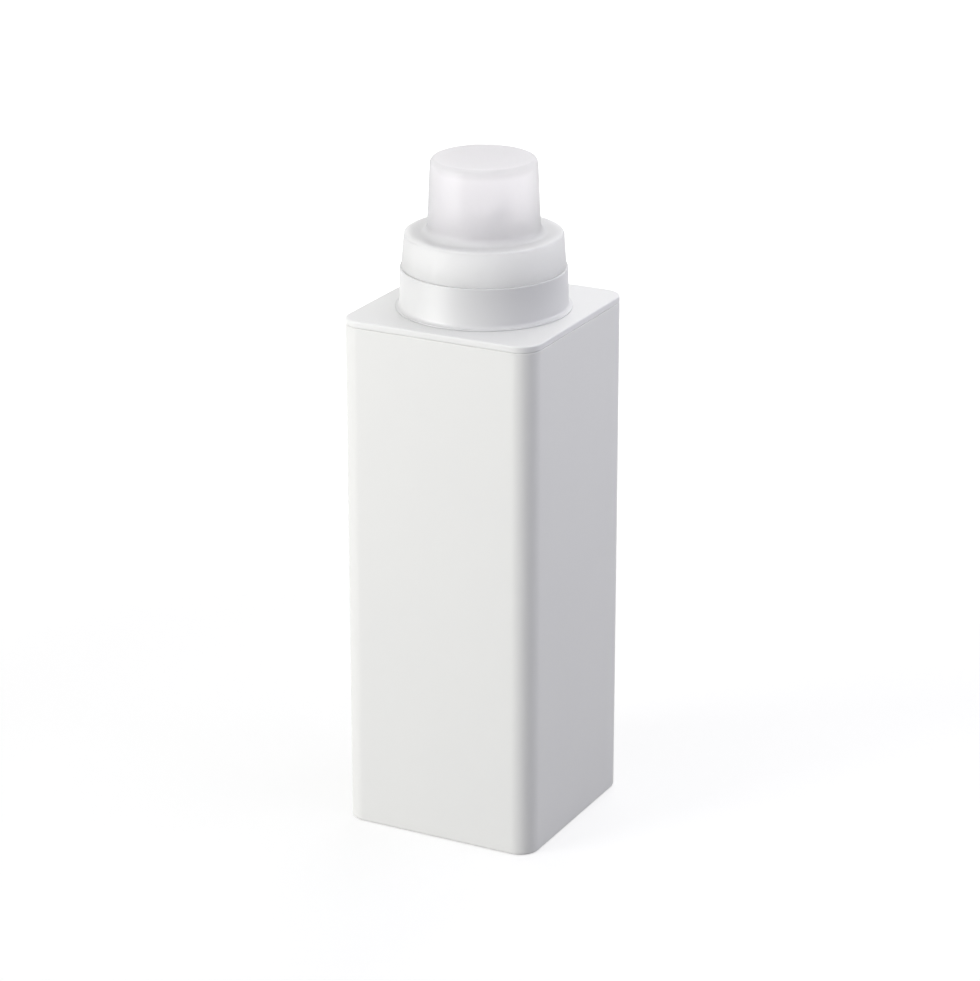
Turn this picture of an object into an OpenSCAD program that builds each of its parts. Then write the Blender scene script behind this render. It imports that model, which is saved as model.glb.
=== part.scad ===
// Refillable detergent bottle: a square bottle with a lift-off top lid, a screwed
// spout collar with a drain-back pouring spout, and a translucent measuring cap.
// Millimetres, +Z up, origin at the centre of the base. The spout pours towards +X.

/* [Bottle body] */
// Width and depth of the square body
body_w = 75; // [66:1:90]
// Height of the body up to its rim
body_h = 187.5; // [120:0.5:240]
// Radius of the four upright corners
corner_r = 7.5; // [6.5:0.5:10]
// Wall thickness at the rim
wall_rim = 2; // [1.6:0.1:2.4]
// Wall thickness at the foot, thicker than the rim so that the mould core draws out
wall_foot = 2.6; // [2:0.1:3.4]
// Thickness of the floor
floor_t = 3; // [2:0.5:5]
// Rounding inside, between floor and walls
floor_r = 2.5; // [1:0.5:3.5]
// Rounding of the outer bottom edge
foot_edge_r = 1.2; // [0.5:0.1:2]
// Width of the foot ring round the recessed base
foot_w = 5; // [3:0.5:6]
// Depth of the recess under the base
foot_recess = 1; // [0.5:0.1:1.5]

/* [Top lid] */
// Thickness of the lid plate
lid_t = 2.4; // [2:0.1:4]
// Rounding of the lid's upper edge
lid_edge_r = 0.6; // [0.4:0.1:1.5]
// Rounding on both sides of the seam between lid and body
seam_r = 0.4; // [0.2:0.05:0.6]
// Depth of the plug that hangs into the body's mouth
plug_depth = 14; // [10:0.5:25]
// Wall thickness of the plug
plug_wall = 2.2; // [1.8:0.1:2.6]
// Gap between the plug and the body's wall at the rim
plug_gap = 0.4; // [0.3:0.05:0.7]

/* [Lid gasket] */
// Height of the gasket's groove
gasket_h = 4; // [3:0.5:6]
// Height of the plug's end below the groove
gasket_rise = 2.5; // [1.5:0.5:4]
// Depth of the groove in the plug
gasket_groove = 1; // [0.7:0.1:1.2]
// Gap between the gasket's lips and the body's wall at the rim
lip_gap = 0.15; // [0.1:0.05:0.25]

/* [Lid neck and spout seal] */
// Radius of the neck's bore
neck_bore_r = 21; // [18:0.5:23]
// Wall thickness of the neck
neck_wall = 2; // [1.6:0.1:2.6]
// Height of the neck above the lid
neck_h = 10; // [7:0.5:12]
// Thickness of the seal on the neck's rim
seal_t = 1.2; // [0.8:0.1:2]

/* [Spout collar] */
// Height of the collar's outer ring
ring_h = 14.5; // [12:0.1:20]
// Wall thickness of the outer ring
ring_wall = 2.4; // [2.2:0.1:3]
// How far the ring's top edge stands out past the cap's rim
ring_ledge = 0.6; // [0.2:0.1:1]
// How much wider the ring is at its foot than at its top
ring_flare = 0.3; // [0.1:0.1:0.8]
// Rounding where the ring flares out into its foot
ring_fillet = 1.2; // [0.8:0.1:2]
// Thickness of the foot's edge
ring_foot_t = 0.4; // [0.3:0.1:0.8]
// Thickness of the deck that joins the ring to the sleeve
deck_t = 1.8; // [1.4:0.1:2.4]
// Wall thickness of the sleeve that screws onto the neck and carries the cap
sleeve_wall = 1.6; // [1.2:0.1:2]
// Room for the thread between neck and sleeve
neck_thread_gap = 1; // [0.8:0.1:1.6]
// Thickness of the lip that holds the spout down
lip_t = 1.4; // [1:0.1:2]

/* [Pouring spout] */
// Thickness of the spout's flange, which is also the drip tray
flange_t = 2; // [1.6:0.1:3]
// Depth of the tray's conical floor at the spout
tray_dip = 0.8; // [0.4:0.1:1]
// Radius of the spout at its foot
spout_foot_r = 7.4; // [6.6:0.1:9]
// Radius of the spout at its tip
spout_tip_r = 6.4; // [5.6:0.1:7.4]
// Wall thickness of the spout
spout_wall = 1.2; // [1:0.1:1.6]
// Height of the spout's tip above its flange
spout_h = 25.5; // [20:0.5:32]
// Distance of the spout from the bottle's axis
spout_shift = 2.5; // [0:0.5:4]
// Slope of the spout's slanted mouth, in degrees
spout_slope = 48; // [35:1:52]
// Width of the drain slot in the spout's back
slot_w = 4.5; // [3.5:0.5:6]

/* [Measuring cap] */
// Wall thickness of the cap
cap_wall = 1.4; // [1:0.1:1.8]
// Room for the thread between sleeve and cap
cap_thread_gap = 0.9; // [0.8:0.1:1.6]
// Height of the skirt, from its rim to the shoulder
skirt_h = 12.2; // [10:0.1:16]
// How much wider the skirt is at its rim than at its shoulder
skirt_flare = 0.9; // [0.3:0.1:1.4]
// Rounding of the shoulder's outer edge
shoulder_r = 1; // [0.5:0.1:1.3]
// Radius of the cup where it meets the shoulder
cup_foot_r = 19.9; // [18:0.1:22]
// Radius of the cup at its top
cup_top_r = 18.7; // [17:0.1:19.6]
// Height of the cup above the shoulder
cup_h = 26.6; // [22:0.1:40]
// Rounding of the cup's top edge
cup_edge_r = 2.2; // [1.8:0.1:3]
// Rounding where the cup meets the shoulder
cup_foot_fillet = 2.8; // [0.5:0.1:3.4]

/* [Hidden] */
$fn = 96;

// Straight steps in each rounded corner of an outline
arc_steps = 8;
// Running gap between pieces that turn or lift past each other
run_gap = 0.3;
// Gap between flat faces that rest on each other
seat_gap = 0.1;
// Gap round the gasket in its groove
groove_gap = 0.05;
// Small rounding on moulded edges
edge_r = 0.4;
// Fine rounding on thin edges
fine_r = 0.2;
// How far cuts run past the surface
over = 1;

// Heights
floor_top = foot_recess + floor_t;
lid_top = body_h + lid_t;
plug_bottom = body_h - plug_depth;
groove_bottom = plug_bottom + gasket_rise;
groove_top = groove_bottom + gasket_h;
neck_top = lid_top + neck_h;
flange_bottom = neck_top + seal_t;
flange_top = flange_bottom + flange_t;
tip_top = flange_top + spout_h;
ring_bottom = lid_top + seat_gap;
deck_top = ring_bottom + ring_h;
cap_rim = deck_top + seat_gap;
shoulder_top = cap_rim + skirt_h;
sleeve_top = shoulder_top - cap_wall;
cup_top = shoulder_top + cup_h;

// Radii of the closure, from the neck outwards
neck_r = neck_bore_r + neck_wall;
lip_in = neck_bore_r + neck_wall / 2;
sleeve_in = neck_r + neck_thread_gap;
sleeve_r = sleeve_in + sleeve_wall;
skirt_top_r = sleeve_r + cap_thread_gap + cap_wall;
skirt_rim_r = skirt_top_r + skirt_flare;
ring_top_r = skirt_rim_r + ring_ledge;
ring_foot_r = ring_top_r + ring_flare;
ring_out_r = ring_foot_r + ring_fillet + fine_r;

// Distances from a corner's upright axis, for the profiles swept round the square
foot_x = corner_r - wall_foot;
mouth_x = corner_r - wall_rim;
plug_x = mouth_x - plug_gap;
plug_in_x = plug_x - plug_wall;
groove_x = plug_x - gasket_groove;
lip_x = mouth_x - lip_gap;

function unit(v) = v / norm(v);
function angle_of(v) = atan2(v[1], v[0]);
function turn(d) = d > 180 ? d - 360 : d <= -180 ? d + 360 : d;

// Points of the arc of radius r that rounds the corner q between p and s
function corner_arc(p, q, s, r) =
    let (u = unit(p - q), v = unit(s - q))
    let (half = acos(u * v) / 2)
    let (c = q + unit(u + v) * r / sin(half))
    let (a = angle_of(q + u * r / tan(half) - c))
    let (b = angle_of(q + v * r / tan(half) - c))
    let (step = turn(b - a) / arc_steps)
    [for (i = [0 : arc_steps]) c + r * [cos(a + step * i), sin(a + step * i)]];

// Outline through [x, y, r] corners, each rounded to its radius r
function rounded(corners) =
    let (n = len(corners))
    let (xy = [for (c = corners) [c[0], c[1]]])
    [for (i = [0 : n - 1])
        each corners[i][2] > 0
            ? corner_arc(xy[(i + n - 1) % n], xy[i], xy[(i + 1) % n], corners[i][2])
            : [xy[i]]];

// Sweeps a profile round the square, its x measured from a corner's upright axis
module square_sweep() {
    reach = body_w / 2 - corner_r;
    for (quarter = [0 : 3]) rotate(90 * quarter) translate([reach, reach, 0]) {
        rotate_extrude(angle = 90) children();
        rotate([90, 0, 0]) linear_extrude(2 * reach) children();
    }
}

// Slab that fills the middle of a swept profile
module middle_slab(bottom, thickness) {
    side = body_w - 2 * corner_r;
    translate([-side / 2, -side / 2, bottom]) cube([side, side, thickness]);
}

// Square container with drafted walls, standing on a foot ring
module bottle_body() {
    wall_outline = rounded([
        [0, foot_recess, 0],
        [corner_r - foot_w, foot_recess, 0],
        [corner_r - foot_w, 0, 0],
        [corner_r, 0, foot_edge_r],
        [corner_r, body_h, seam_r],
        [mouth_x, body_h, edge_r],
        [foot_x, floor_top, floor_r],
        [0, floor_top, 0]]);
    color("whitesmoke") {
        square_sweep() polygon(wall_outline);
        middle_slab(foot_recess, floor_t);
    }
}

// Square lid plate with a grooved plug below and a round neck above
module top_lid() {
    plate_outline = rounded([
        [0, body_h, 0],
        [plug_in_x, body_h, 0],
        [plug_in_x, plug_bottom, edge_r],
        [plug_x, plug_bottom, edge_r],
        [plug_x, groove_bottom, 0],
        [groove_x, groove_bottom, 0],
        [groove_x, groove_top, 0],
        [plug_x, groove_top, 0],
        [plug_x, body_h, 0],
        [corner_r, body_h, seam_r],
        [corner_r, lid_top, lid_edge_r],
        [0, lid_top, 0]]);
    neck_outline = rounded([
        [neck_bore_r, body_h, 0],
        [neck_r, body_h, 0],
        [neck_r, neck_top, edge_r],
        [neck_bore_r, neck_top, edge_r]]);
    color("white") {
        difference() {
            union() {
                square_sweep() polygon(plate_outline);
                middle_slab(body_h, lid_t);
            }
            translate([0, 0, body_h - over]) cylinder(h = lid_t + 2 * over, r = neck_r - edge_r);
        }
        rotate_extrude() polygon(neck_outline);
    }
}

// Square silicone ring with two lips, seated in the plug's groove
module lid_gasket() {
    back_x = groove_x + groove_gap;
    low = groove_bottom + groove_gap;
    high = groove_top - groove_gap;
    lip_h = (high - low) / 3;
    ring_outline = rounded([
        [back_x, low, 0],
        [plug_x, low, 0],
        [lip_x, low + lip_h / 2, lip_gap],
        [plug_x, low + lip_h, 0],
        [plug_x, high - lip_h, 0],
        [lip_x, high - lip_h / 2, lip_gap],
        [plug_x, high, 0],
        [back_x, high, 0]]);
    color("gainsboro") square_sweep() polygon(ring_outline);
}

// Flat silicone washer between the neck's rim and the spout's flange
module spout_seal() {
    seal_outline = [
        [neck_bore_r + edge_r, neck_top],
        [neck_r - edge_r, neck_top],
        [neck_r - edge_r, flange_bottom],
        [neck_bore_r + edge_r, flange_bottom]];
    color("gainsboro") rotate_extrude() polygon(seal_outline);
}

// Outer ring and threaded sleeve in one, with the lip that clamps the spout
module spout_collar() {
    collar_outline = rounded([
        [ring_foot_r - ring_wall, ring_bottom, 0],
        [ring_out_r, ring_bottom, 0],
        [ring_out_r, ring_bottom + ring_foot_t, fine_r],
        [ring_foot_r, ring_bottom + ring_foot_t, ring_fillet],
        [ring_top_r, deck_top, edge_r],
        [sleeve_r, deck_top, 0],
        [sleeve_r, sleeve_top, edge_r],
        [sleeve_in, sleeve_top, edge_r],
        [sleeve_in, flange_top + lip_t, 0],
        [lip_in, flange_top + lip_t, edge_r],
        [lip_in, flange_top, 0],
        [sleeve_in, flange_top, 0],
        [sleeve_in, ring_bottom + over, 0],
        [sleeve_r, ring_bottom + over, 0],
        [sleeve_r, deck_top - deck_t, 0],
        [ring_top_r - ring_wall, deck_top - deck_t, 0]]);
    color("white") rotate_extrude() polygon(collar_outline);
}

// Slanted spout with a drain slot at its back, standing in a conical drip tray
module pouring_spout() {
    flange_r = sleeve_in - run_gap;
    tray_r = lip_in - run_gap;
    tray_outline = rounded([
        [0, flange_bottom, 0],
        [flange_r, flange_bottom, 0],
        [flange_r, flange_top, 0],
        [tray_r, flange_top, 0],
        [spout_foot_r - spout_shift, flange_top - tray_dip, 0],
        [0, flange_top - tray_dip, 0]]);
    length = tip_top - flange_bottom;
    taper = (spout_foot_r - spout_tip_r) / length;
    color("ghostwhite") difference() {
        union() {
            rotate_extrude() polygon(tray_outline);
            difference() {
                translate([spout_shift, 0, flange_bottom])
                    cylinder(h = length, r1 = spout_foot_r, r2 = spout_tip_r);
                translate([spout_shift + spout_tip_r, 0, tip_top]) rotate([0, -spout_slope, 0])
                    translate([-2 * spout_h, -spout_h, 0])
                        cube([4 * spout_h, 2 * spout_h, 2 * spout_h]);
            }
        }
        translate([spout_shift, 0, flange_bottom - over])
            cylinder(h = length + 2 * over, r1 = spout_foot_r - spout_wall + taper * over,
                     r2 = spout_tip_r - spout_wall - taper * over);
        translate([spout_shift - spout_foot_r - over, -slot_w / 2, flange_top - tray_dip])
            cube([spout_foot_r + over, slot_w, length]);
    }
}

// Two-step cap, which is also the measuring cup
module measuring_cap() {
    cap_outline = rounded([
        [skirt_rim_r - cap_wall, cap_rim, fine_r],
        [skirt_rim_r, cap_rim, fine_r],
        [skirt_top_r, shoulder_top, shoulder_r],
        [cup_foot_r, shoulder_top, cup_foot_fillet],
        [cup_top_r, cup_top, cup_edge_r],
        [0, cup_top, 0],
        [0, cup_top - cap_wall, 0],
        [cup_top_r - cap_wall, cup_top - cap_wall, edge_r],
        [cup_foot_r - cap_wall, sleeve_top, edge_r],
        [skirt_top_r - cap_wall, sleeve_top, edge_r]]);
    color("aliceblue", 0.6) rotate_extrude() polygon(cap_outline);
}

bottle_body();
top_lid();
lid_gasket();
spout_seal();
spout_collar();
pouring_spout();
measuring_cap();
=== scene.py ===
"""Looks of a refillable detergent bottle: moulded shells, thread, finishes, studio and camera.

Sizes in the classes are millimetres, as in the source of the solids. Meshes are made in metres.
"""
import logging
import math
from dataclasses import dataclass
from enum import Enum
from typing import Sequence

import bmesh
import bpy
from bmesh.types import BMEdge, BMesh, BMVert
from mathutils import Matrix, Vector


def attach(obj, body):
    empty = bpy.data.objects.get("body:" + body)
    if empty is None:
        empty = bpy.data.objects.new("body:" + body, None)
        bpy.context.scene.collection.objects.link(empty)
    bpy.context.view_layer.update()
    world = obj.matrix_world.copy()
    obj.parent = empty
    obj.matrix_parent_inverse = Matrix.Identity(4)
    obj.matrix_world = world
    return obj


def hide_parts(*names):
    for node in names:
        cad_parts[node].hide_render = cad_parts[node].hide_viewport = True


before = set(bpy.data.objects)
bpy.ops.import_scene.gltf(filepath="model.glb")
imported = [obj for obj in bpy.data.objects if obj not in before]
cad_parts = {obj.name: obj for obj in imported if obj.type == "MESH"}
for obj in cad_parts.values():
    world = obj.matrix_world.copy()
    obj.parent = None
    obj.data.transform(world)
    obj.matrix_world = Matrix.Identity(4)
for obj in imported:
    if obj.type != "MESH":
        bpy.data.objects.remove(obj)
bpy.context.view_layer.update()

log = logging.getLogger("detergent_bottle")

MM = 0.001
SAME_MM = 1e-3
CREASE_DEG = 35.0
ORIGIN = (0.0, 0.0, 0.0)
UPWARD = (0.0, 0.0, 1.0)

# The standard curve from sRGB to linear light.
SRGB_KNEE = 0.04045
SRGB_SLOPE = 12.92
SRGB_OFFSET = 0.055
SRGB_POWER = 2.4

# Sockets of the colour mixing node, several of which share a name.
MIX_SHARE = 0
MIX_FIRST = 6
MIX_SECOND = 7
MIX_RESULT = 2

Colour = tuple[float, float, float, float]
Socket = bpy.types.NodeSocket
Tree = bpy.types.NodeTree


class Body(Enum):
    """The rigid bodies that pieces ride on."""

    BOTTLE = "bottle"
    LID = "lid"
    SPOUT_UNIT = "spout_unit"
    CAP = "cap"


class Rounded(Enum):
    """What a bevel rounds."""

    EDGES = "EDGES"
    VERTICES = "VERTICES"


class Sweep(Enum):
    """How an outline goes round the upright axis."""

    ROUND = "round"
    SQUARE = "square"


@dataclass(frozen=True)
class Corner:
    """One corner of an outline: x outwards, z up, and the radius that rounds it."""

    x: float
    z: float
    r: float = 0.0

    def at(self) -> Vector:
        """The corner as a plane vector."""
        return Vector((self.x, self.z))


@dataclass(frozen=True)
class Plan:
    """The sizes that several pieces share."""

    width: float = 75.0
    corner_r: float = 7.5
    rim_z: float = 187.5
    lid_t: float = 2.4
    seam_r: float = 0.4
    edge_r: float = 0.4
    wall_rim: float = 2.0
    plug_gap: float = 0.4
    plug_depth: float = 14.0
    groove_rise: float = 2.5
    groove_h: float = 4.0
    groove_depth: float = 1.0
    neck_bore_r: float = 21.0
    neck_r: float = 23.0
    neck_h: float = 10.0
    seal_t: float = 1.2
    flange_t: float = 2.0
    seat_gap: float = 0.1
    fine_r: float = 0.2
    ring_h: float = 14.5
    skirt_h: float = 12.2
    cap_wall: float = 1.4
    sleeve_in: float = 24.0
    sleeve_r: float = 25.6

    @property
    def reach(self) -> float:
        """Distance of each upright corner's axis from the middle, along X and Y."""
        return self.width / 2 - self.corner_r

    @property
    def lid_top(self) -> float:
        """Height of the lid's upper face."""
        return self.rim_z + self.lid_t

    @property
    def plug_x(self) -> float:
        """Outside of the lid's plug, from a corner's axis."""
        return self.corner_r - self.wall_rim - self.plug_gap

    @property
    def plug_z(self) -> float:
        """Height of the plug's lower end."""
        return self.rim_z - self.plug_depth

    @property
    def groove_z(self) -> float:
        """Height of the gasket groove's lower side."""
        return self.plug_z + self.groove_rise

    @property
    def neck_z(self) -> float:
        """Height of the neck's rim."""
        return self.lid_top + self.neck_h

    @property
    def flange_z(self) -> float:
        """Height of the spout flange's upper face."""
        return self.neck_z + self.seal_t + self.flange_t

    @property
    def ring_z(self) -> float:
        """Height of the collar ring's lower edge."""
        return self.lid_top + self.seat_gap

    @property
    def deck_z(self) -> float:
        """Height of the collar's deck."""
        return self.ring_z + self.ring_h

    @property
    def cap_z(self) -> float:
        """Height of the cap's rim."""
        return self.deck_z + self.seat_gap

    @property
    def shoulder_z(self) -> float:
        """Height of the cap's shoulder."""
        return self.cap_z + self.skirt_h

    @property
    def sleeve_z(self) -> float:
        """Height of the collar sleeve's rim, where the cap's shoulder seats."""
        return self.shoulder_z - self.cap_wall


def linear(hex_colour: str) -> Colour:
    """Turns an sRGB hex colour into linear light.

    Args:
        hex_colour: Six hex digits after a hash sign.

    Returns:
        Red, green, blue and an alpha of 1.
    """
    parts = [int(hex_colour[i : i + 2], 16) / 255 for i in (1, 3, 5)]
    lit = [
        part / SRGB_SLOPE
        if part <= SRGB_KNEE
        else ((part + SRGB_OFFSET) / (1 + SRGB_OFFSET)) ** SRGB_POWER
        for part in parts
    ]
    return (*lit, 1.0)


def add_node(
    tree: Tree,
    kind: str,
    options: dict[str, object] | None = None,
    sockets: dict[str | int, object] | None = None,
) -> bpy.types.Node:
    """Adds one node with its settings and links.

    Args:
        tree: The tree that gets the node.
        kind: Blender's type name of the node.
        options: Settings of the node itself.
        sockets: Value, or output to link, for each input.

    Returns:
        The new node.
    """
    node = tree.nodes.new(kind)
    for key, value in (options or {}).items():
        setattr(node, key, value)
    for key, value in (sockets or {}).items():
        if isinstance(value, Socket):
            tree.links.new(value, node.inputs[key])
        else:
            node.inputs[key].default_value = value
    return node


def fresh_tree(owner: bpy.types.Material | bpy.types.World) -> Tree:
    """Empties the node tree of a material or a world.

    Args:
        owner: What the tree belongs to.

    Returns:
        The empty tree.
    """
    owner.use_nodes = True
    owner.node_tree.nodes.clear()
    return owner.node_tree


def smooth_share(tree: Tree, value: Socket, low: float, high: float) -> Socket:
    """Makes a soft step between two values.

    Args:
        tree: The tree that gets the node.
        value: What is measured.
        low: The value where the share is 0.
        high: The value where the share is 1.

    Returns:
        The share, from 0 to 1.
    """
    step = add_node(
        tree,
        "ShaderNodeMapRange",
        {"interpolation_type": "SMOOTHSTEP"},
        {"Value": value, "From Min": low, "From Max": high},
    )
    return step.outputs["Result"]


def between(tree: Tree, share: Socket, first: Socket | float, second: Socket | float) -> Socket:
    """Makes a value that goes from one to another.

    Args:
        tree: The tree that gets the node.
        share: How far along the value is, from 0 to 1.
        first: The value at share 0.
        second: The value at share 1.

    Returns:
        The value.
    """
    sockets = {"Value": share, "To Min": first, "To Max": second}
    return add_node(tree, "ShaderNodeMapRange", sockets=sockets).outputs["Result"]


def calculate(tree: Tree, operation: str, first: Socket, second: Socket | float = 0.0) -> Socket:
    """Joins two values with one sum of the maths node.

    Args:
        tree: The tree that gets the node.
        operation: Blender's name of the sum.
        first: The first value.
        second: The second value, for sums that take two.

    Returns:
        The result.
    """
    node = add_node(tree, "ShaderNodeMath", {"operation": operation}, {0: first, 1: second})
    return node.outputs["Value"]


def mix_colours(
    tree: Tree, share: Socket, first: Socket | Colour, second: Socket | Colour
) -> Socket:
    """Mixes two colours.

    Args:
        tree: The tree that gets the node.
        share: The second colour's share.
        first: The colour at share 0.
        second: The colour at share 1.

    Returns:
        The mixed colour.
    """
    mixed = add_node(
        tree,
        "ShaderNodeMix",
        {"data_type": "RGBA"},
        {MIX_SHARE: share, MIX_FIRST: first, MIX_SECOND: second},
    )
    return mixed.outputs[MIX_RESULT]


def axis_part(tree: Tree, vector: Socket) -> Socket:
    """Takes the upright part of a vector.

    Args:
        tree: The tree that gets the node.
        vector: The vector.

    Returns:
        Its Z.
    """
    return add_node(tree, "ShaderNodeSeparateXYZ", sockets={"Vector": vector}).outputs["Z"]


def linked(shader: bpy.types.Node, name: str) -> Socket:
    """The output that feeds one input of a shader."""
    return shader.inputs[name].links[0].from_socket


def seen_share(tree: Tree) -> Socket:
    """Tells rays that show a thing to the eye from those that only light others.

    Args:
        tree: The tree that gets the nodes.

    Returns:
        1 for camera, glossy and transmission rays, and 0 for the rest.
    """
    rays = add_node(tree, "ShaderNodeLightPath").outputs
    straight = calculate(tree, "MAXIMUM", rays["Is Camera Ray"], rays["Is Transmission Ray"])
    return calculate(tree, "MAXIMUM", straight, rays["Is Glossy Ray"])


@dataclass(frozen=True)
class MouldedFinish:
    """A moulded plastic or rubber, from its colour, gloss and grain."""

    name: str
    slot: str
    colour: str
    cloud: str
    roughness: float
    spread: float
    grain_mm: float
    grain_depth_mm: float
    cloud_mm: float = 40.0
    cloud_detail: float = 3.0
    grain_detail: float = 2.0
    grain_low: float = 0.3
    grain_high: float = 0.7
    ior: float = 1.5
    specular: float = 0.5
    subsurface: float = 0.0
    subsurface_mm: float = 1.0
    subsurface_tint: tuple[float, float, float] = (1.0, 0.9, 0.8)
    skin: float = 0.0
    skin_roughness: float = 0.3
    skin_ior: float = 1.49

    def pass_light(self, tree: Tree, place: Socket, shader: bpy.types.Node) -> Socket:
        """Leaves an opaque finish as its shader makes it.

        Args:
            tree: The material's tree. Not used here.
            place: Object coordinates. Not used here.
            place: Object coordinates.
            shader: The finish's main shader.

        Returns:
            The surface's output.
        """
        return shader.outputs["BSDF"]

    def noise(self, tree: Tree, place: Socket, size_mm: float, detail: float) -> Socket:
        """Makes an uneven pattern of a real size.

        Args:
            tree: The material's tree.
            place: Object coordinates.
            size_mm: The pattern's size.
            detail: How many finer layers it has.

        Returns:
            The pattern's value.
        """
        sockets = {"Vector": place, "Scale": 1 / (size_mm * MM), "Detail": detail}
        return add_node(tree, "ShaderNodeTexNoise", sockets=sockets).outputs["Fac"]

    def build(self) -> bpy.types.Material:
        """Makes the material.

        Returns:
            A node material on object coordinates.
        """
        material = bpy.data.materials.new(self.name)
        tree = fresh_tree(material)
        place = add_node(tree, "ShaderNodeTexCoord").outputs["Object"]
        cloud = self.noise(tree, place, self.cloud_mm, self.cloud_detail)
        grain = self.noise(tree, place, self.grain_mm, self.grain_detail)
        gloss = add_node(
            tree,
            "ShaderNodeMapRange",
            sockets={
                "Value": grain,
                "From Min": self.grain_low,
                "From Max": self.grain_high,
                "To Min": self.roughness - self.spread,
                "To Max": self.roughness + self.spread,
            },
        )
        bump = add_node(
            tree,
            "ShaderNodeBump",
            sockets={"Height": grain, "Strength": 1.0, "Distance": self.grain_depth_mm * MM},
        )
        shader = add_node(
            tree,
            "ShaderNodeBsdfPrincipled",
            sockets={
                "Base Color": mix_colours(tree, cloud, linear(self.colour), linear(self.cloud)),
                "Roughness": gloss.outputs["Result"],
                "Normal": bump.outputs["Normal"],
                "IOR": self.ior,
                "Specular IOR Level": self.specular,
                "Subsurface Weight": self.subsurface,
                "Subsurface Scale": self.subsurface_mm * MM,
                "Subsurface Radius": self.subsurface_tint,
                "Coat Weight": self.skin,
                "Coat Roughness": self.skin_roughness,
                "Coat IOR": self.skin_ior,
            },
        )
        surface = self.pass_light(tree, place, shader)
        add_node(tree, "ShaderNodeOutputMaterial", sockets={"Surface": surface})
        return material


@dataclass(frozen=True)
class HeightPaintedFinish(MouldedFinish):
    """A moulding whose upper part has a painted tone, which stands for light or shade there."""

    painted_upper_colour: str = "#FFFFFF"
    foot_z: float = 0.0
    upper_z: float = 1.0

    def pass_light(self, tree: Tree, place: Socket, shader: bpy.types.Node) -> Socket:
        """Paints the upper part's tone, which stands for light or shade, into the finish above a
        height.

        Args:
            tree: The material's tree.
            place: Object coordinates.
            shader: The finish's main shader.

        Returns:
            The surface's output.
        """
        height = axis_part(tree, place)
        upper = smooth_share(tree, height, self.foot_z * MM, self.upper_z * MM)
        # The upper tone is painted light or painted shade, not the plastic's own colour.
        tone = mix_colours(tree, upper, linked(shader, "Base Color"), linear(self.painted_upper_colour))
        tree.links.new(tone, shader.inputs["Base Color"])
        return shader.outputs["BSDF"]


@dataclass(frozen=True)
class CapPlace:
    """Where on the cap a point is, as outputs of nodes.

    The tilt is 0 on an upright wall and 1 on a level face. The shares of the cup and of level faces
    go from 0 to 1.
    """

    height: Socket
    tilt: Socket
    cup: Socket
    level: Socket


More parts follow.
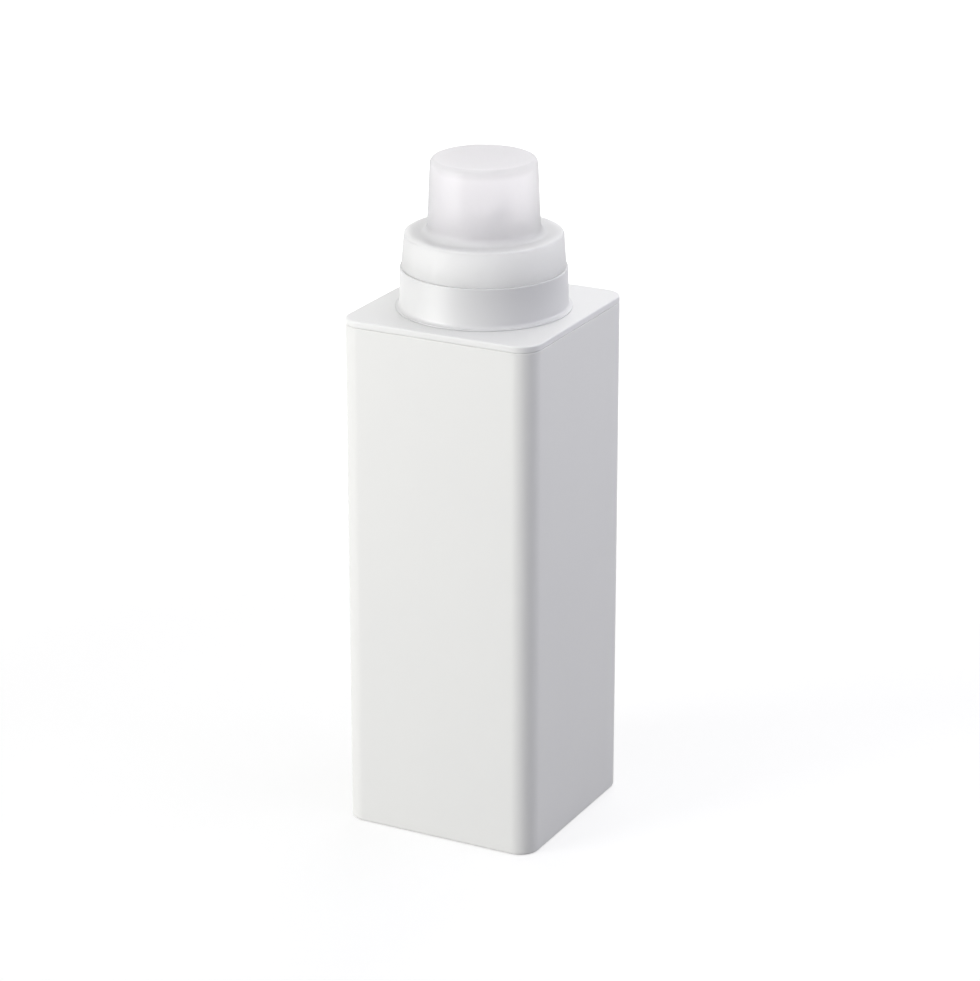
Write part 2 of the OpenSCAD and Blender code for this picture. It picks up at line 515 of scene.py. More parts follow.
@dataclass(frozen=True)
class FrostedFinish(MouldedFinish):
    """A translucent moulding, clearer in its cup than in its skirt.

    The glow is the share of light that is scattered through the wall, and what is clear lets the
    rest pass straight. Painted shade darkens the colour where the wall is seen edge-on, standing in
    for light lost through more plastic, and at the cup's upper corner.
    """

    skirt_glow: float = 0.7
    shoulder_glow: float = 0.45
    cup_glow: float = 0.48
    skirt_colour: str = "#F5F5F5"
    skirt_clear: float = 0.0
    cup_clear: float = 0.85
    skirt_z: float = 216.5
    cup_z: float = 219.5
    # Painted shade: the darker colour painted where the wall is seen edge-on and at the cup's
    # corner.
    edge_shade_colour: str = "#DEDEDE"
    edge_shade_from: float = 0.3
    edge_shade_to: float = 0.9
    edge_shade_top: float = 0.35
    edge_shade_skirt: float = 0.5
    wall_tilt: float = 0.35
    top_tilt: float = 0.85
    level_tilt: float = 1.0
    # Share of painted shade at the cup's upper corner.
    corner: float = 0.5
    corner_shade_z: float = 239.0
    corner_shade_top_z: float = 241.5

    def locate(self, tree: Tree, place: Socket) -> CapPlace:
        """Finds where on the cap a point is.

        Args:
            tree: The material's tree.
            place: Object coordinates.

        Returns:
            The place.
        """
        height = axis_part(tree, place)
        normal = add_node(tree, "ShaderNodeNewGeometry").outputs["Normal"]
        tilt = calculate(tree, "ABSOLUTE", axis_part(tree, normal))
        return CapPlace(
            height=height,
            tilt=tilt,
            cup=smooth_share(tree, height, self.skirt_z * MM, self.cup_z * MM),
            level=smooth_share(tree, tilt, self.wall_tilt, self.top_tilt),
        )

    def paint_edge_shade(self, tree: Tree, tone: Socket, where: CapPlace) -> Socket:
        """Paints shade into the cap's colour along its wall's edges and at the cup's upper corner.

        Args:
            tree: The material's tree.
            tone: The plastic's colour.
            where: The place on the cap.

        Returns:
            The colour with painted shade at the edges and the corner.
        """
        facing = add_node(tree, "ShaderNodeLayerWeight").outputs["Facing"]
        edge = smooth_share(tree, facing, self.edge_shade_from, self.edge_shade_to)
        for share in (
            between(tree, where.level, 1.0, self.edge_shade_top),
            between(tree, where.cup, self.edge_shade_skirt, 1.0),
        ):
            edge = calculate(tree, "MULTIPLY", edge, share)
        # Painted shade on the cup's upper corner, where its rim rounds over.
        high = smooth_share(tree, where.height, self.corner_shade_z * MM, self.corner_shade_top_z * MM)
        bent = smooth_share(tree, where.tilt, self.level_tilt, self.top_tilt)
        corner = calculate(tree, "MULTIPLY", calculate(tree, "MULTIPLY", high, bent), self.corner)
        share = calculate(tree, "MAXIMUM", edge, corner)
        return mix_colours(tree, share, tone, linear(self.edge_shade_colour))

    def pass_light(self, tree: Tree, place: Socket, shader: bpy.types.Node) -> Socket:
        """Lets light through: some straight, which shows the spout, and some scattered.

        Args:
            tree: The material's tree.
            place: Object coordinates.
            shader: The finish's main shader.

        Returns:
            The surface's output.
        """
        where = self.locate(tree, place)
        plain = linked(shader, "Base Color")
        tone = mix_colours(tree, where.cup, linear(self.skirt_colour), plain)
        # The colour gets painted shade along the edges and at the cup's corner.
        colour = self.paint_edge_shade(tree, tone, where)
        clear = between(tree, where.cup, self.skirt_clear, self.cup_clear)
        tree.links.new(colour, shader.inputs["Base Color"])
        tree.links.new(clear, shader.inputs["Transmission Weight"])
        scatter = add_node(
            tree,
            "ShaderNodeBsdfTranslucent",
            sockets={"Color": colour, "Normal": linked(shader, "Normal")},
        )
        skirt = between(tree, where.level, self.skirt_glow, self.shoulder_glow)
        glow = between(tree, where.cup, skirt, self.cup_glow)
        mixed = add_node(
            tree,
            "ShaderNodeMixShader",
            sockets={0: glow, 1: shader.outputs["BSDF"], 2: scatter.outputs["BSDF"]},
        )
        return mixed.outputs["Shader"]


# ABS moulded in a spark-eroded tool: an even matte white with a soft, wide highlight.
BODY_ABS = MouldedFinish(
    name="moulded_abs_matte_white",
    slot="body_white",
    colour="#EEEEEC",
    cloud="#EBEBEA",
    roughness=0.5,
    spread=0.05,
    grain_mm=0.6,
    grain_depth_mm=0.004,
    ior=1.53,
)
# The same plastic a little smoother on the lid. Its colour is painted a shade lighter: painted
# light on the level face.
LID_ABS = MouldedFinish(
    name="moulded_abs_matte_white_lid",
    slot="lid_white",
    # Painted light: a shade lighter than the bottle's colour.
    colour="#EFEFEE",
    cloud="#ECECEC",
    roughness=0.47,
    spread=0.05,
    grain_mm=0.6,
    grain_depth_mm=0.004,
    ior=1.53,
)
# Polypropylene from a finer tool: glossier than the bottle, so the ring has a clear highlight.
# The sleeve above the ring is painted a lighter tone: painted light, for light that passes its
# thinner wall.
COLLAR_PP = HeightPaintedFinish(
    name="moulded_polypropylene_satin_white",
    slot="collar_white",
    colour="#DEDEDE",
    cloud="#DCDCDD",
    roughness=0.42,
    spread=0.04,
    grain_mm=0.5,
    grain_depth_mm=0.001,
    ior=1.49,
    specular=0.9,
    # Painted light on the thin sleeve.
    painted_upper_colour="#F6F6F6",
    foot_z=205.0,
    upper_z=206.5,
)
# Unfilled polypropylene, frosted on both sides: it glows with the light behind it and blurs what
# is inside. A thin wall hardly bends the light that passes it, which the low index stands for;
# the sheen outside has the plastic's own index.
CAP_PP = FrostedFinish(
    name="frosted_polypropylene_translucent",
    slot="cap_frosted",
    colour="#F6F5F6",
    cloud="#F4F3F4",
    roughness=0.35,
    spread=0.03,
    grain_mm=0.8,
    grain_depth_mm=0.0005,
    ior=1.13,
    skin=0.6,
)
# Natural polyethylene: soft and slightly waxy. The tube is painted a darker grey than the tray:
# painted shade, so that it shows as a dark shape through the cap.
SPOUT_PE = HeightPaintedFinish(
    name="moulded_polyethylene_natural",
    slot="spout_natural",
    colour="#F0F1F2",
    cloud="#ECEDEE",
    roughness=0.38,
    spread=0.05,
    grain_mm=0.8,
    grain_depth_mm=0.003,
    ior=1.51,
    # Painted shade on the tube.
    painted_upper_colour="#9C9EA1",
    foot_z=205.0,
    upper_z=214.0,
)
# Moulded silicone: milky, dull and slightly grey.
GASKET_SILICONE = MouldedFinish(
    name="moulded_silicone_milky",
    slot="silicone",
    colour="#D5D8DA",
    cloud="#CDD1D4",
    roughness=0.6,
    spread=0.06,
    grain_mm=0.7,
    grain_depth_mm=0.003,
    ior=1.41,
    subsurface=0.4,
)


def put_in_scene(name: str, data: bpy.types.ID) -> bpy.types.Object:
    """Makes an object and shows it.

    Args:
        name: The object's name.
        data: Its mesh, lamp or camera.

    Returns:
        The object.
    """
    made = bpy.data.objects.new(name, data)
    bpy.context.scene.collection.objects.link(made)
    return made


def direction(azimuth_deg: float, elevation_deg: float) -> Vector:
    """The way from the bottle towards a lamp or the camera.

    Args:
        azimuth_deg: Turn from the front, -Y, towards +X.
        elevation_deg: Rise above the level.

    Returns:
        A vector of length 1.
    """
    azimuth, elevation = math.radians(azimuth_deg), math.radians(elevation_deg)
    level = math.cos(elevation)
    return Vector((math.sin(azimuth) * level, -math.cos(azimuth) * level, math.sin(elevation)))


def round_off(
    bm: BMesh,
    geom: Sequence[BMEdge | BMVert],
    offset_mm: float,
    segments: int,
    what: Rounded = Rounded.EDGES,
    clamp: bool = False,
) -> None:
    """Rounds edges or vertices with arcs.

    Args:
        bm: The mesh.
        geom: The edges or vertices.
        offset_mm: How far the rounding reaches along the sides.
        segments: Faces across the rounding.
        what: Whether edges or vertices are rounded.
        clamp: Whether roundings stop where they would meet.
    """
    bmesh.ops.bevel(
        bm,
        geom=geom,
        offset=offset_mm * MM,
        offset_type="OFFSET",
        segments=segments,
        profile=0.5,
        affect=what.value,
        clamp_overlap=clamp,
        material=-1,
    )


@dataclass
class Outline:
    """A chain of corners that is swept round the axis and then rounded along its edges."""

    plan: Plan
    sweep: Sweep
    corners: Sequence[Corner]
    closed: bool = False
    arc_segments: int = 5
    turn_segments: int = 16
    side_segments: int = 24

    @property
    def reach(self) -> float:
        """Distance of the sweep's corner axes from the middle, which is 0 for a round one."""
        return self.plan.reach if self.sweep is Sweep.SQUARE else 0.0

    def setback(self, index: int) -> float:
        """How far the rounding of one corner reaches along its sides.

        Args:
            index: Place of the corner in the chain.

        Returns:
            The length in millimetres.
        """
        count = len(self.corners)
        here = self.corners[index].at()
        before = (self.corners[(index - 1) % count].at() - here).normalized()
        after = (self.corners[(index + 1) % count].at() - here).normalized()
        half = math.acos(max(-1.0, min(1.0, before.dot(after)))) / 2
        return self.corners[index].r / math.tan(half)

    def ring(self, bm: BMesh, corner: Corner) -> list[BMEdge]:
        """Finds the edges that run round the axis at one corner.

        Args:
            bm: The swept mesh.
            corner: The corner that the edges follow.

        Returns:
            The edges of that ring.
        """

        def fits(vert: BMVert) -> bool:
            """Whether a vertex lies on the corner."""
            out = math.hypot(*(max(abs(part) / MM - self.reach, 0.0) for part in vert.co.xy))
            return max(abs(vert.co.z / MM - corner.z), abs(out - corner.x)) < SAME_MM

        return [e for e in bm.edges if fits(e.verts[0]) and fits(e.verts[1])]

    def round_edges(self, bm: BMesh) -> None:
        """Rounds every corner that has a radius.

        Args:
            bm: The swept mesh.
        """
        for index, corner in enumerate(self.corners):
            if corner.r > 0:
                round_off(bm, self.ring(bm, corner), self.setback(index), self.arc_segments)

    def spin(self, bm: BMesh, steps: int) -> None:
        """Turns the outline once round the bottle's axis.

        Args:
            bm: The mesh that gets the surface.
            steps: Faces round the axis.
        """
        verts = [bm.verts.new((c.x * MM, 0.0, c.z * MM)) for c in self.corners]
        pairs = list(zip(verts, verts[1:]))
        if self.closed:
            pairs.append((verts[-1], verts[0]))
        edges = [bm.edges.new(pair) for pair in pairs]
        bmesh.ops.spin(
            bm,
            geom=verts + edges,
            cent=ORIGIN,
            axis=UPWARD,
            dvec=ORIGIN,
            angle=math.tau,
            steps=steps,
            use_merge=True,
        )
        bmesh.ops.remove_doubles(bm, verts=bm.verts[:], dist=SAME_MM * MM)
        bmesh.ops.recalc_face_normals(bm, faces=bm.faces[:])

    def square_start(self, bm: BMesh) -> list[BMEdge]:
        """Makes the rounded square at the first corner.

        Args:
            bm: The mesh that gets the loop.

        Returns:
            The edges of the loop.
        """
        first = self.corners[0]
        bmesh.ops.create_grid(
            bm,
            x_segments=1,
            y_segments=1,
            size=(self.plan.reach + first.x) * MM,
            matrix=Matrix.Translation((0.0, 0.0, first.z * MM)),
        )
        round_off(bm, bm.verts[:], first.x, self.turn_segments, Rounded.VERTICES)
        bmesh.ops.delete(bm, geom=bm.faces[:], context="FACES_ONLY")
        sides = [e for e in bm.edges if e.calc_length() > self.plan.reach * MM]
        bmesh.ops.subdivide_edges(bm, edges=sides, cuts=self.side_segments - 1)
        return bm.edges[:]

    def carry(self, bm: BMesh, loop: list[BMEdge], corners: Sequence[Corner]) -> list[BMEdge]:
        """Carries a loop on through further corners.

        Args:
            bm: The mesh that grows.
            loop: The edges to carry on.
            corners: Where the loop goes, one after another.

        Returns:
            The last loop's edges.
        """
        for corner in corners:
            grown = bmesh.ops.extrude_edge_only(bm, edges=loop)["geom"]
            loop = [g for g in grown if isinstance(g, BMEdge)]
            loop = [e for e in loop if all(v in grown for v in e.verts)]
            reach = self.reach * MM
            for vert in (g for g in grown if isinstance(g, BMVert)):
                middle = Vector([max(-reach, min(reach, part)) for part in vert.co.xy])
                out = (vert.co.xy - middle).normalized() * corner.x * MM
                vert.co = (*(middle + out), corner.z * MM)
        return loop


def fill_loop(bm: BMesh, loop: list[BMEdge]) -> None:
    """Closes a flat loop with one face.

    Args:
        bm: The mesh.
        loop: The edges round the opening.
    """
    bmesh.ops.contextual_create(bm, geom=loop)


@dataclass(frozen=True)
class ScrewThread:
    """A trapezoid ridge that winds up a round wall and dies away at both ends."""

    wall_r: float
    crest_r: float
    start_z: float
    pitch: float
    turns: float
    foot_w: float
    crest_w: float
    lead_deg: float = 50.0
    steps_per_turn: int = 96

    def add(self, bm: BMesh) -> None:
        """Winds the ridge into a mesh.

        Args:
            bm: The mesh that gets the ridge.
        """
        ridge = bmesh.new()
        foot, crest = self.foot_w / 2, self.crest_w / 2
        section = (
            (self.wall_r, -foot),
            (self.crest_r, -crest),
            (self.crest_r, crest),
            (self.wall_r, foot),
        )
        verts = [ridge.verts.new((r * MM, 0.0, (self.start_z + z) * MM)) for r, z in section]
        face = ridge.faces.new(verts)
        steps = round(self.turns * self.steps_per_turn)
        bmesh.ops.spin(
            ridge,
            geom=[face, *face.edges, *face.verts],
            cent=ORIGIN,
            axis=UPWARD,
            dvec=(0.0, 0.0, self.pitch / self.steps_per_turn * MM),
            angle=self.turns * math.tau,
            steps=steps,
        )
        self.run_out(ridge)
        bmesh.ops.recalc_face_normals(ridge, faces=ridge.faces[:])
        mesh = bpy.data.meshes.new("ridge")
        ridge.to_mesh(mesh)
        ridge.free()
        bm.from_mesh(mesh)
        bpy.data.meshes.remove(mesh)

    def run_out(self, ridge: BMesh) -> None:
        """Lets the ridge's two ends die away into the wall.

        Args:
            ridge: The wound ridge.
        """
        for vert in ridge.verts:
            height = vert.co.z / MM
            angle = math.degrees(math.atan2(vert.co.y, vert.co.x)) % 360
            turned = angle + 360 * round((height - self.start_z) / self.pitch - angle / 360)
            near_end = max(0.0, min(turned, self.turns * 360 - turned))
            keep = min(1.0, near_end / self.lead_deg)
            middle = self.start_z + self.pitch * turned / 360
            radius = math.hypot(vert.co.x, vert.co.y) / MM
            vert.co.xy *= (self.wall_r + (radius - self.wall_r) * keep) / radius
            vert.co.z = (middle + (height - middle) * keep) * MM
        bmesh.ops.remove_doubles(ridge, verts=ridge.verts[:], dist=SAME_MM * MM)


def finish_piece(
    name: str, bm: BMesh, finish: MouldedFinish, body: Body, node: str
) -> bpy.types.Object:
    """Turns a modelled mesh into a dressed piece that rides a body and stands for a solid.

    Args:
        name: Name of the piece.
        bm: The modelled mesh, which is freed.
        finish: Its finish.
        body: The body that carries it.
        node: The solid that it stands for.

    Returns:
        The piece's object.
    """
    crease = math.radians(CREASE_DEG)
    bm.normal_update()
    for face in bm.faces:
        face.smooth = True
    for edge in bm.edges:
        edge.smooth = len(edge.link_faces) == 2 and edge.calc_face_angle(0.0) < crease
    mesh = bpy.data.meshes.new(name)
    bm.to_mesh(mesh)
    bm.free()
    piece = put_in_scene(name, mesh)
    mesh.materials.append(finish.build())
    weighted = piece.modifiers.new("even_shading", "WEIGHTED_NORMAL")
    weighted.keep_sharp = True
    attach(piece, body.value)
    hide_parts(node)
    log.info("%s: %d faces, %s, on %s", name, len(mesh.polygons), finish.name, body.value)
    return piece


@dataclass
class BottleShell:
    """The square bottle: drafted walls, foot ring and open mouth."""

    plan: Plan
    wall_foot: float = 2.6
    floor_t: float = 3.0
    floor_r: float = 2.5
    foot_edge_r: float = 1.2
    foot_inner_r: float = 0.2
    foot_w: float = 5.0
    foot_recess: float = 1.0
    floor_middle: float = 1.0

    def outline(self) -> Outline:
        """The wall's outline, from the recessed base over the rim to the floor.

        Returns:
            The outline.
        """
        plan = self.plan
        out = plan.corner_r
        floor_z = self.foot_recess + self.floor_t
        return Outline(
            plan,
            Sweep.SQUARE,
            (
                Corner(out - self.foot_w, self.foot_recess),
                Corner(out - self.foot_w, 0.0, self.foot_inner_r),
                Corner(out, 0.0, self.foot_edge_r),
                Corner(out, plan.rim_z, plan.seam_r),
                Corner(out - plan.wall_rim, plan.rim_z, plan.edge_r),
                Corner(out - self.wall_foot, floor_z, self.floor_r),
                Corner(self.floor_middle, floor_z),
            ),
        )

    def build(self) -> bpy.types.Object:
        """Models and dresses the bottle.

        Returns:
            The piece.
        """
        bm = bmesh.new()
        outline = self.outline()
        first = outline.square_start(bm)
        last = outline.carry(bm, first, outline.corners[1:])
        fill_loop(bm, first)
        fill_loop(bm, last)
        bmesh.ops.recalc_face_normals(bm, faces=bm.faces[:])
        outline.round_edges(bm)
        return finish_piece("bottle_shell", bm, BODY_ABS, Body.BOTTLE, "bottle_body")


@dataclass
class TopLid:
    """The lift-off lid: plate, grooved plug, neck, and the gasket in the groove."""

    plan: Plan
    plate_edge_r: float = 0.6
    plug_wall: float = 2.2
    plate_middle: float = 6.0
    lip_gap: float = 0.15
    groove_gap: float = 0.05
    lip_share: float = 1 / 3

    def plate_outline(self) -> Outline:
        """The plate and plug, from inside the plug round to the plate's upper face.

        Returns:
            The outline.
        """
        plan = self.plan
        out, plug = plan.corner_r, plan.plug_x
        inside, groove = plug - self.plug_wall, plug - plan.groove_depth
        groove_top = plan.groove_z + plan.groove_h
        return Outline(
            plan,
            Sweep.SQUARE,
            (
                Corner(inside, plan.rim_z),
                Corner(inside, plan.plug_z, plan.edge_r),
                Corner(plug, plan.plug_z, plan.edge_r),
                Corner(plug, plan.groove_z),
                Corner(groove, plan.groove_z),
                Corner(groove, groove_top),
                Corner(plug, groove_top),
                Corner(plug, plan.rim_z),
                Corner(out, plan.rim_z, plan.seam_r),
                Corner(out, plan.lid_top, self.plate_edge_r),
                Corner(self.plate_middle, plan.lid_top),
            ),
        )

    def neck_outline(self) -> Outline:
        """The neck, from the plate's upper face over its rim and down the bore.

        Returns:
            The outline.
        """
        plan = self.plan
        return Outline(
            plan,
            Sweep.ROUND,
            (
                Corner(plan.neck_r, plan.lid_top),
                Corner(plan.neck_r, plan.neck_z, plan.edge_r),
                Corner(plan.neck_bore_r, plan.neck_z, plan.edge_r),
                Corner(plan.neck_bore_r, plan.rim_z),
            ),
            arc_segments=3,
        )

    def build(self) -> list[bpy.types.Object]:
        """Models and dresses the lid and its gasket.

        Returns:
            The pieces.
        """
        bm = bmesh.new()
        plate, neck = self.plate_outline(), self.neck_outline()
        under = plate.square_start(bm)
        over = plate.carry(bm, under, plate.corners[1:])
        bore = neck.carry(bm, over, neck.corners)
        bmesh.ops.bridge_loops(bm, edges=under + bore)
        bmesh.ops.recalc_face_normals(bm, faces=bm.faces[:])
        plate.round_edges(bm)
        neck.round_edges(bm)
        lid = finish_piece("top_lid_shell", bm, LID_ABS, Body.LID, "top_lid")
        return [lid, self.build_gasket()]

    def build_gasket(self) -> bpy.types.Object:
        """Models and dresses the two-lipped gasket.

        Returns:
            The piece.
        """
        plan = self.plan
        back = plan.plug_x - plan.groove_depth + self.groove_gap
        lip = plan.corner_r - plan.wall_rim - self.lip_gap
        low = plan.groove_z + self.groove_gap
        high = plan.groove_z + plan.groove_h - self.groove_gap
        lip_h = (high - low) * self.lip_share
        outline = Outline(
            plan,
            Sweep.SQUARE,
            (
                Corner(back, low),
                Corner(plan.plug_x, low),
                Corner(lip, low + lip_h / 2, self.lip_gap),
                Corner(plan.plug_x, low + lip_h),
                Corner(plan.plug_x, high - lip_h),
                Corner(lip, high - lip_h / 2, self.lip_gap),
                Corner(plan.plug_x, high),
                Corner(back, high),
            ),
            closed=True,
            arc_segments=3,
        )
        bm = bmesh.new()
        first = outline.square_start(bm)
        last = outline.carry(bm, first, outline.corners[1:])
        bmesh.ops.bridge_loops(bm, edges=first + last)
        bmesh.ops.recalc_face_normals(bm, faces=bm.faces[:])
        outline.round_edges(bm)
        return finish_piece("lid_gasket_ring", bm, GASKET_SILICONE, Body.LID, "lid_gasket")


@dataclass
class SpoutUnit:
    """What stays on the lid when the cap is off: threaded collar, pouring spout and seal."""

    plan: Plan
    ring_foot_r: float = 29.7
    ring_top_r: float = 29.4
    ring_wall: float = 2.4
    ring_fillet: float = 1.2
    ring_foot_t: float = 0.4
    deck_t: float = 1.8
    lip_in: float = 22.0
    lip_t: float = 1.4
    sleeve_lift: float = 1.0
    thread_sink: float = 0.1
    thread_depth: float = 0.7
    thread_rise: float = 2.4
    thread_pitch: float = 4.2
    thread_turns: float = 1.6
    thread_foot_w: float = 1.7
    thread_crest_w: float = 0.8
    spout_sharp_deg: float = 40.0
    spout_edge_r: float = 0.2
    spout_edge_segments: int = 2
    steps: int = 128

    def collar_outline(self) -> Outline:
        """The collar's section: ring, deck, sleeve and the lip that holds the spout.

        Returns:
            The outline.
        """
        plan = self.plan
        lip_top = plan.flange_z + self.lip_t
        deck_under = plan.deck_z - self.deck_t
        foot_r = self.ring_foot_r + self.ring_fillet + plan.fine_r
        foot_z = plan.ring_z + self.ring_foot_t
        return Outline(
            plan,
            Sweep.ROUND,
            (
                Corner(self.ring_foot_r - self.ring_wall, plan.ring_z),
                Corner(foot_r, plan.ring_z),
                Corner(foot_r, foot_z, plan.fine_r),
                Corner(self.ring_foot_r, foot_z, self.ring_fillet),
                Corner(self.ring_top_r, plan.deck_z, plan.edge_r),
                Corner(plan.sleeve_r, plan.deck_z),
                Corner(plan.sleeve_r, plan.sleeve_z, plan.edge_r),
                Corner(plan.sleeve_in, plan.sleeve_z, plan.edge_r),
                Corner(plan.sleeve_in, lip_top),
                Corner(self.lip_in, lip_top, plan.edge_r),
                Corner(self.lip_in, plan.flange_z),
                Corner(plan.sleeve_in, plan.flange_z),
                Corner(plan.sleeve_in, plan.ring_z + self.sleeve_lift),
                Corner(plan.sleeve_r, plan.ring_z + self.sleeve_lift),
                Corner(plan.sleeve_r, deck_under),
                Corner(self.ring_top_r - self.ring_wall, deck_under),
            ),
            closed=True,
        )

    def sleeve_thread(self) -> ScrewThread:
        """The thread that the cap screws onto."""
        return ScrewThread(
            wall_r=self.plan.sleeve_r - self.thread_sink,
            crest_r=self.plan.sleeve_r + self.thread_depth,
            start_z=self.plan.deck_z + self.thread_rise,
            pitch=self.thread_pitch,
            turns=self.thread_turns,
            foot_w=self.thread_foot_w,
            crest_w=self.thread_crest_w,
        )

    def build(self) -> list[bpy.types.Object]:
        """Models and dresses the collar, the spout and the seal.

        Returns:
            The pieces.
        """
        bm = bmesh.new()
        outline = self.collar_outline()
        outline.spin(bm, self.steps)
        outline.round_edges(bm)
        self.sleeve_thread().add(bm)
        collar = finish_piece("collar_ring", bm, COLLAR_PP, Body.SPOUT_UNIT, "spout_collar")
        return [collar, self.build_spout(), self.build_seal()]

    def build_spout(self) -> bpy.types.Object:
        """Dresses the slanted spout, with its moulded edges softened.

        Returns:
            The piece.
        """
        bm = bmesh.new()
        bm.from_mesh(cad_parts["pouring_spout"].data)
        bmesh.ops.remove_doubles(bm, verts=bm.verts[:], dist=SAME_MM * MM)
        limit = math.radians(self.spout_sharp_deg)
        sharp = [e for e in bm.edges if e.calc_face_angle(0.0) > limit]
        round_off(bm, sharp, self.spout_edge_r, self.spout_edge_segments, clamp=True)
        return finish_piece(
            "pouring_spout_insert", bm, SPOUT_PE, Body.SPOUT_UNIT, "pouring_spout"
        )

    def build_seal(self) -> bpy.types.Object:
        """Models and dresses the flat washer on the neck's rim.

        Returns:
            The piece.
        """
        plan = self.plan
        inner, outer = plan.neck_bore_r + plan.edge_r, plan.neck_r - plan.edge_r
        top = plan.neck_z + plan.seal_t
        outline = Outline(
            plan,
            Sweep.ROUND,
            (
                Corner(inner, plan.neck_z),
                Corner(outer, plan.neck_z),
                Corner(outer, top),
                Corner(inner, top),
            ),
            closed=True,
        )
        bm = bmesh.new()
        outline.spin(bm, self.steps)
        return finish_piece("spout_seal_washer", bm, GASKET_SILICONE, Body.SPOUT_UNIT, "spout_seal")


@dataclass
class MeasuringCap:
    """The stepped, translucent cap that is also the measuring cup."""

    plan: Plan
    rim_r: float = 28.8
    shoulder_r: float = 27.9
    shoulder_edge_r: float = 1.0
    cup_foot_r: float = 19.9
    cup_top_r: float = 18.7
    cup_h: float = 26.6
    cup_edge_r: float = 2.2
    cup_fillet: float = 2.8
    steps: int = 128

    def outline(self) -> Outline:
        """The cap's section, from the cup's top down the outside and up the inside.

        Returns:
            The outline.
        """
        plan = self.plan
        wall = plan.cap_wall
        top = plan.shoulder_z + self.cup_h
        return Outline(
            plan,
            Sweep.ROUND,
            (
                Corner(0.0, top),
                Corner(self.cup_top_r, top, self.cup_edge_r),
                Corner(self.cup_foot_r, plan.shoulder_z, self.cup_fillet),
                Corner(self.shoulder_r, plan.shoulder_z, self.shoulder_edge_r),
                Corner(self.rim_r, plan.cap_z, plan.fine_r),
                Corner(self.rim_r - wall, plan.cap_z, plan.fine_r),
                Corner(self.shoulder_r - wall, plan.sleeve_z, plan.edge_r),
                Corner(self.cup_foot_r - wall, plan.sleeve_z, plan.edge_r),
                Corner(self.cup_top_r - wall, top - wall, plan.edge_r),
                Corner(0.0, top - wall),
            ),
        )

    def build(self) -> bpy.types.Object:
        """Models and dresses the cap.

        Returns:
            The piece.
        """
        bm = bmesh.new()
        outline = self.outline()
        outline.spin(bm, self.steps)
        outline.round_edges(bm)
        return finish_piece("measuring_cap_shell", bm, CAP_PP, Body.CAP, "measuring_cap")


@dataclass(frozen=True)
class SoftLamp:
    """A rectangular studio lamp that looks at the bottle's middle."""

    name: str
    azimuth_deg: float
    elevation_deg: float
    distance: float
    width: float
    height: float
    power: float
    colour: str

    def place(self, aim: Vector) -> bpy.types.Object:
        """Puts the lamp in the scene.

        Args:
            aim: The point that it looks at, in metres.

        Returns:
            The lamp's object.
        """
        towards = direction(self.azimuth_deg, self.elevation_deg)
        data = bpy.data.lights.new(self.name, "AREA")
        data.shape = "RECTANGLE"
        data.size, data.size_y = self.width * MM, self.height * MM
        data.energy = self.power
        data.color = linear(self.colour)[:3]
        lamp = put_in_scene(self.name, data)
        lamp.location = aim + towards * self.distance * MM
        lamp.rotation_euler = (-towards).to_track_quat("-Z", "Y").to_euler()
        return lamp


# Name, azimuth, elevation, distance, width, height, power in watts and colour of each lamp.
LAMPS = (
    SoftLamp("key_left", -38.0, 7.0, 1500.0, 800.0, 600.0, 18.6, "#FFFFFD"),
    SoftLamp("fill_front_right", 60.0, 15.0, 1500.0, 900.0, 900.0, 2.2, "#F3F3FF"),
    SoftLamp("fill_right", 95.0, 36.0, 650.0, 400.0, 400.0, 0.88, "#F3F3FF"),
    SoftLamp("fill_back_right", 140.0, 20.0, 1500.0, 900.0, 900.0, 4.0, "#F6F6FF"),
    SoftLamp("fill_back", 190.0, 45.0, 1500.0, 900.0, 900.0, 4.5, "#FFFFFF"),
    SoftLamp("overhead", 0.0, 89.0, 1300.0, 1500.0, 1500.0, 10.9, "#FFFFFF"),
)


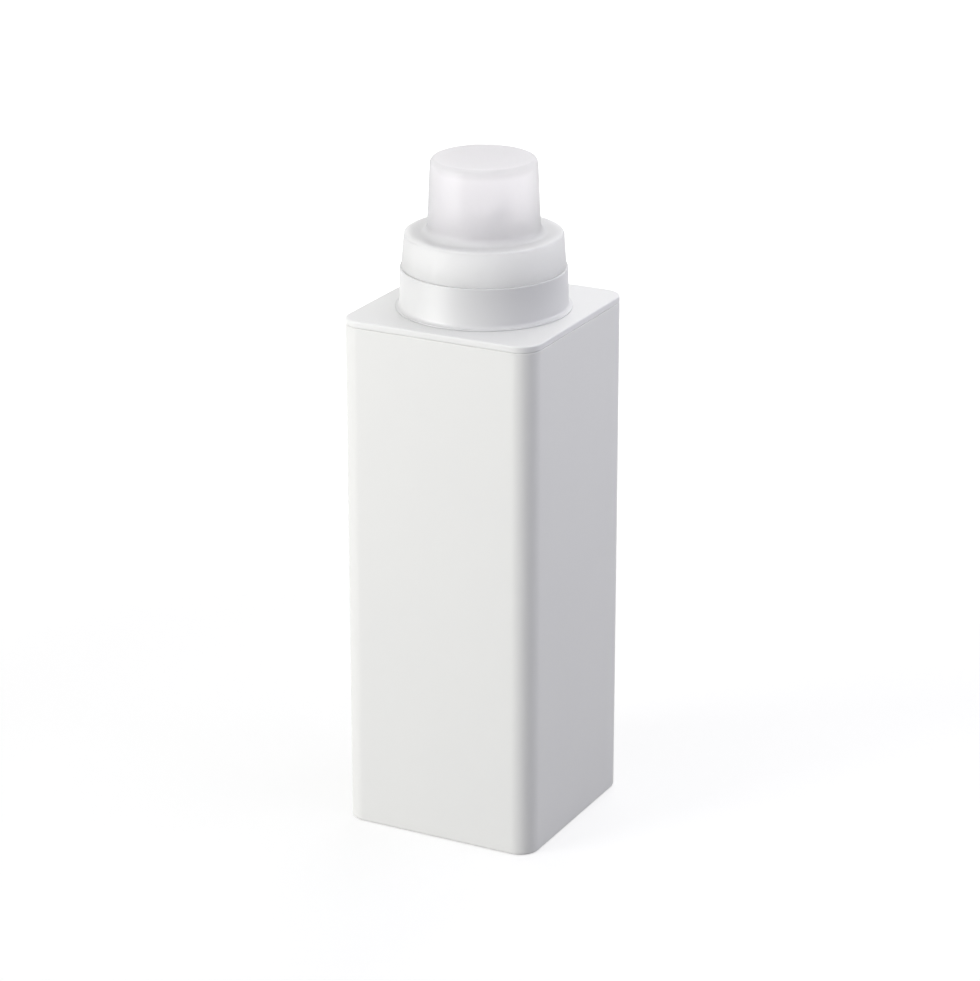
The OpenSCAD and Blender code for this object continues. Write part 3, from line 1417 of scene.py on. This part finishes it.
@dataclass
class Studio:
    """White sweep, soft lamps and the photograph's camera.

    The floor's own glow grows from the bottle outwards, so the shadow stays and the rest is white.
    """

    ambient: float = 0.02
    floor_colour: str = "#B4B4B4"
    floor_size: float = 12000.0
    floor_glow: float = 0.62
    glow_near: float = 200.0
    glow_far: float = 700.0
    aim_z: float = 93.91
    azimuth_deg: float = 27.393
    pitch_deg: float = 20.128
    distance: float = 1264.25
    pan_right: float = 2.085
    pan_up: float = 25.29
    focal_px: float = 3520.4
    image_long_px: float = 981.0
    sensor: float = 36.0
    clip_near: float = 50.0
    clip_far: float = 50000.0
    lamps: tuple[SoftLamp, ...] = LAMPS

    def build_world(self) -> None:
        """Lights the scene softly from all round and shows white behind it."""
        world = bpy.data.worlds.new("white_sweep")
        bpy.context.scene.world = world
        tree = fresh_tree(world)
        strength = between(tree, seen_share(tree), self.ambient, 1.0)
        backdrop = add_node(
            tree,
            "ShaderNodeBackground",
            sockets={"Color": linear("#FFFFFF"), "Strength": strength},
        )
        add_node(
            tree, "ShaderNodeOutputWorld", sockets={"Surface": backdrop.outputs["Background"]}
        )

    def floor_paper(self) -> bpy.types.Material:
        """Makes the floor's white paper, which takes a shadow and has a glow of its own.

        Returns:
            The material.
        """
        material = bpy.data.materials.new("white_paper_sweep")
        tree = fresh_tree(material)
        place = add_node(tree, "ShaderNodeTexCoord").outputs["Object"]
        away = add_node(tree, "ShaderNodeVectorMath", {"operation": "LENGTH"}, {0: place})
        far = smooth_share(
            tree, away.outputs["Value"], self.glow_near * MM, self.glow_far * MM
        )
        white = between(tree, far, self.floor_glow, 1.0)
        glow = calculate(tree, "MULTIPLY", seen_share(tree), white)
        paper = add_node(
            tree, "ShaderNodeBsdfDiffuse", sockets={"Color": linear(self.floor_colour)}
        )
        light = add_node(tree, "ShaderNodeEmission", sockets={"Strength": glow})
        both = add_node(
            tree,
            "ShaderNodeAddShader",
            sockets={0: paper.outputs["BSDF"], 1: light.outputs["Emission"]},
        )
        add_node(tree, "ShaderNodeOutputMaterial", sockets={"Surface": both.outputs["Shader"]})
        return material

    def build_floor(self) -> bpy.types.Object:
        """Lays the pale floor, which keeps the bottle's shadow.

        Returns:
            The floor's object.
        """
        bm = bmesh.new()
        bmesh.ops.create_grid(bm, x_segments=1, y_segments=1, size=self.floor_size / 2 * MM)
        mesh = bpy.data.meshes.new("studio_floor")
        bm.to_mesh(mesh)
        bm.free()
        floor = put_in_scene("studio_floor", mesh)
        mesh.materials.append(self.floor_paper())
        return floor

    def build_camera(self) -> bpy.types.Object:
        """Puts the camera where the photograph was taken.

        Returns:
            The camera's object.
        """
        back = direction(self.azimuth_deg, self.pitch_deg)
        azimuth = math.radians(self.azimuth_deg)
        right = Vector((math.cos(azimuth), math.sin(azimuth), 0.0))
        up = back.cross(right)
        data = bpy.data.cameras.new("photo_camera")
        data.sensor_width = self.sensor
        data.lens = self.focal_px * self.sensor / self.image_long_px
        data.clip_start, data.clip_end = self.clip_near * MM, self.clip_far * MM
        camera = put_in_scene("photo_camera", data)
        aim = Vector((0.0, 0.0, self.aim_z))
        offset = back * self.distance + right * self.pan_right + up * self.pan_up
        camera.location = (aim + offset) * MM
        camera.rotation_euler = (-back).to_track_quat("-Z", "Y").to_euler()
        bpy.context.scene.camera = camera
        return camera

    def build(self) -> None:
        """Sets up the whole studio."""
        bpy.context.scene.view_settings.view_transform = "Standard"
        self.build_world()
        self.build_floor()
        aim = Vector((0.0, 0.0, self.aim_z * MM))
        for lamp in self.lamps:
            lamp.place(aim)
        self.build_camera()


def main() -> None:
    """Builds the bottle's pieces in order, then the studio."""
    logging.basicConfig(level=logging.INFO, format="%(message)s")
    plan = Plan()
    BottleShell(plan).build()
    TopLid(plan).build()
    SpoutUnit(plan).build()
    MeasuringCap(plan).build()
    Studio().build()


if __name__ == "__main__":
    main()
